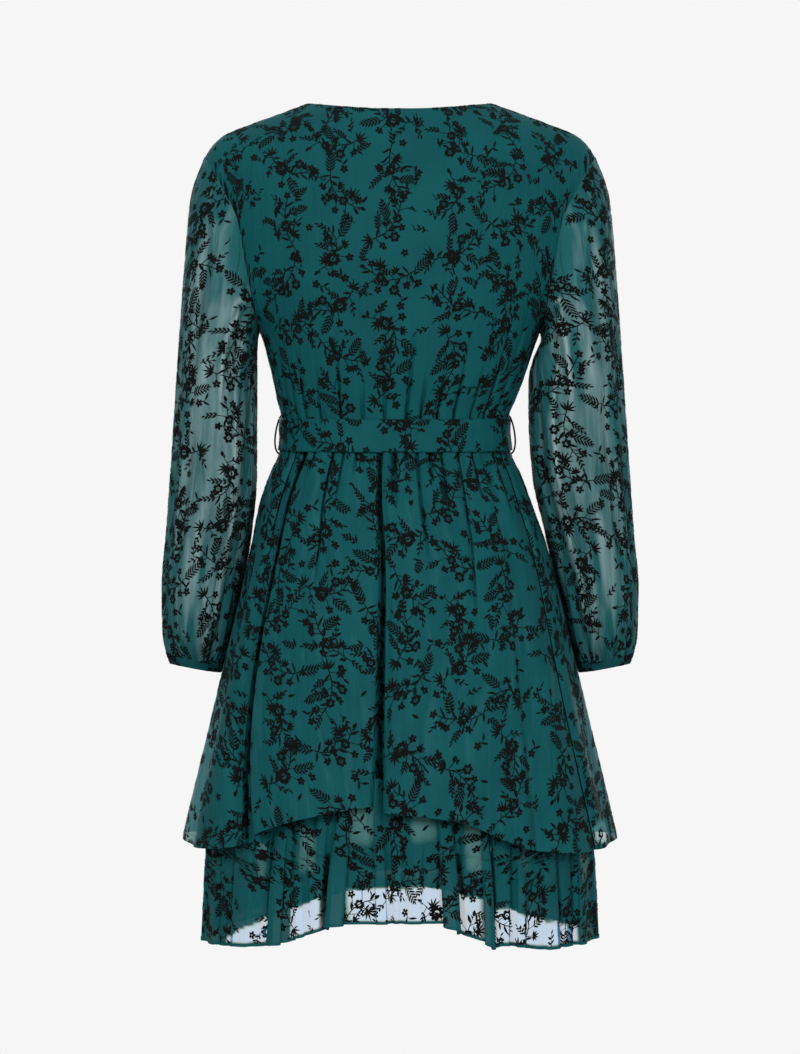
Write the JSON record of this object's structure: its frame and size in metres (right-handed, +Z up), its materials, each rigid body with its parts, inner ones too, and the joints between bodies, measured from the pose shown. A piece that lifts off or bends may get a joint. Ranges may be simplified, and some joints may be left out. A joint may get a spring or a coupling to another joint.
{
  "type": "skater dress",
  "caption": "Long-sleeved floral skater dress, hollow and filled out as if worn, with sheer sleeves, a waist sash in thread loops and a sheer ruffle below a pleated skirt.",
  "frame": {"origin": "midway between the neck corners of the shoulders, level with them, where the wearer's shoulders hold the dress", "axes": "+Z up, -Y to the front of the dress, +Y to its back, +X to the wearer's left"},
  "size_m": [0.538, 0.3521, 0.9316],
  "materials": {
    "bodice_cloth": "matt printed chiffon over an opaque lining",
    "skirt_cloth": "matt printed chiffon, nearly opaque over the lining",
    "ruffle_cloth": "sheer printed chiffon",
    "sleeve_cloth": "sheer printed chiffon",
    "cuff_cloth": "printed chiffon gathered on elastic",
    "lining_cloth": "plain matt lining",
    "sash_cloth": "matt printed chiffon, two layers",
    "thread": "matt dark thread"
  },
  "bodies": {
    "root": {"bodice_back": "bodice_cloth", "bodice_front": "bodice_cloth", "sleeve_left": "sleeve_cloth", "sleeve_right": "sleeve_cloth", "cuff_left": "cuff_cloth", "cuff_right": "cuff_cloth", "skirt_upper_back": "skirt_cloth", "skirt_upper_front": "skirt_cloth", "skirt_lower_back": "ruffle_cloth", "skirt_lower_front": "ruffle_cloth", "lining_back": "lining_cloth", "lining_front": "lining_cloth", "sash": "sash_cloth", "belt_loop_left": "thread", "belt_loop_right": "thread"}
  },
  "joints": []
}
